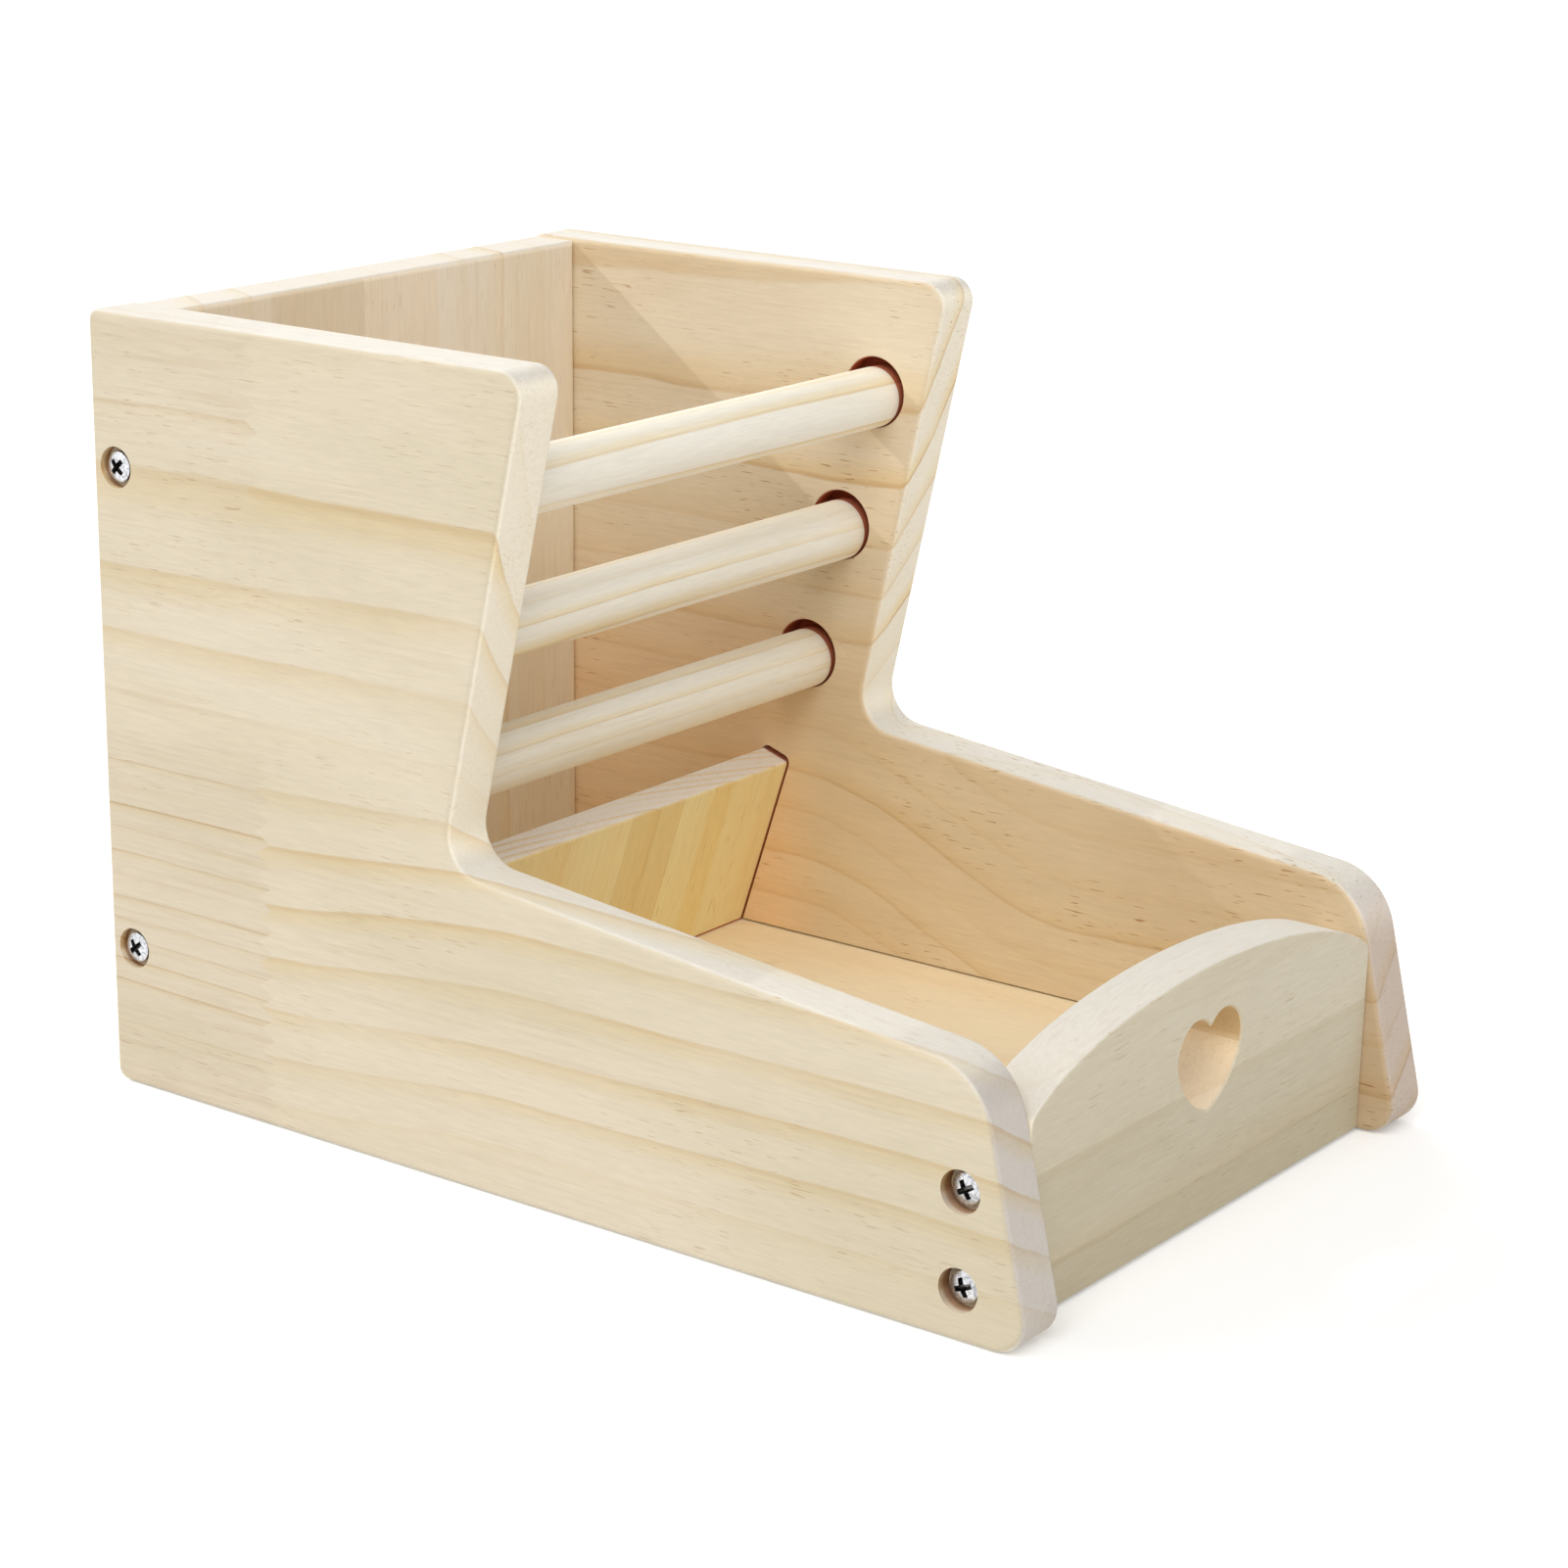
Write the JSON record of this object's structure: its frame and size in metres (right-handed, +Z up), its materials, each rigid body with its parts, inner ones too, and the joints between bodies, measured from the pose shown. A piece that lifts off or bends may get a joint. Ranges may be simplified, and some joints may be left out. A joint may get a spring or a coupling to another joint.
{
  "type": "pet hay feeder",
  "caption": "Free-standing pine hay feeder with an open hopper behind loose round rods, an inclined divider, and an open feed tray whose arched front board has a heart cut-out.",
  "frame": {"origin": "on the ground, under the middle of the feeder's overall box", "axes": "+Z up, +Y towards the back panel, so the feed tray faces -Y, and +X across to the right side as seen from the tray"},
  "size_m": [0.16, 0.246, 0.176],
  "materials": {
    "side_pine": "bare sanded pine, pale cream with soft tan grain",
    "panel_pine": "bare sanded pine, edge-glued staves",
    "thin_pine": "bare sanded pine, yellower edge-glued staves",
    "rod_pine": "bare turned pine with long straight grain",
    "screw_zinc": "bright zinc plate"
  },
  "bodies": {
    "feeder": {"left_side": "side_pine", "right_side": "side_pine", "back_panel": "panel_pine", "front_panel": "panel_pine", "floor_panel": "thin_pine", "divider_panel": "thin_pine", "panel_screws": "screw_zinc"},
    "upper_rod": {"rod_upper": "rod_pine"},
    "middle_rod": {"rod_middle": "rod_pine"},
    "lower_rod": {"rod_lower": "rod_pine"}
  },
  "joints": [
    {"name": "upper_rod_roll", "type": "hinge", "parent": "feeder", "child": "upper_rod", "pos_m": [0, 0.01997, 0.148], "axis": [1, 0, 0], "continuous": true},
    {"name": "middle_rod_roll", "type": "hinge", "parent": "feeder", "child": "middle_rod", "pos_m": [0, 0.0291, 0.11545], "axis": [1, 0, 0], "continuous": true},
    {"name": "lower_rod_roll", "type": "hinge", "parent": "feeder", "child": "lower_rod", "pos_m": [0, 0.03823, 0.0829], "axis": [1, 0, 0], "continuous": true}
  ]
}
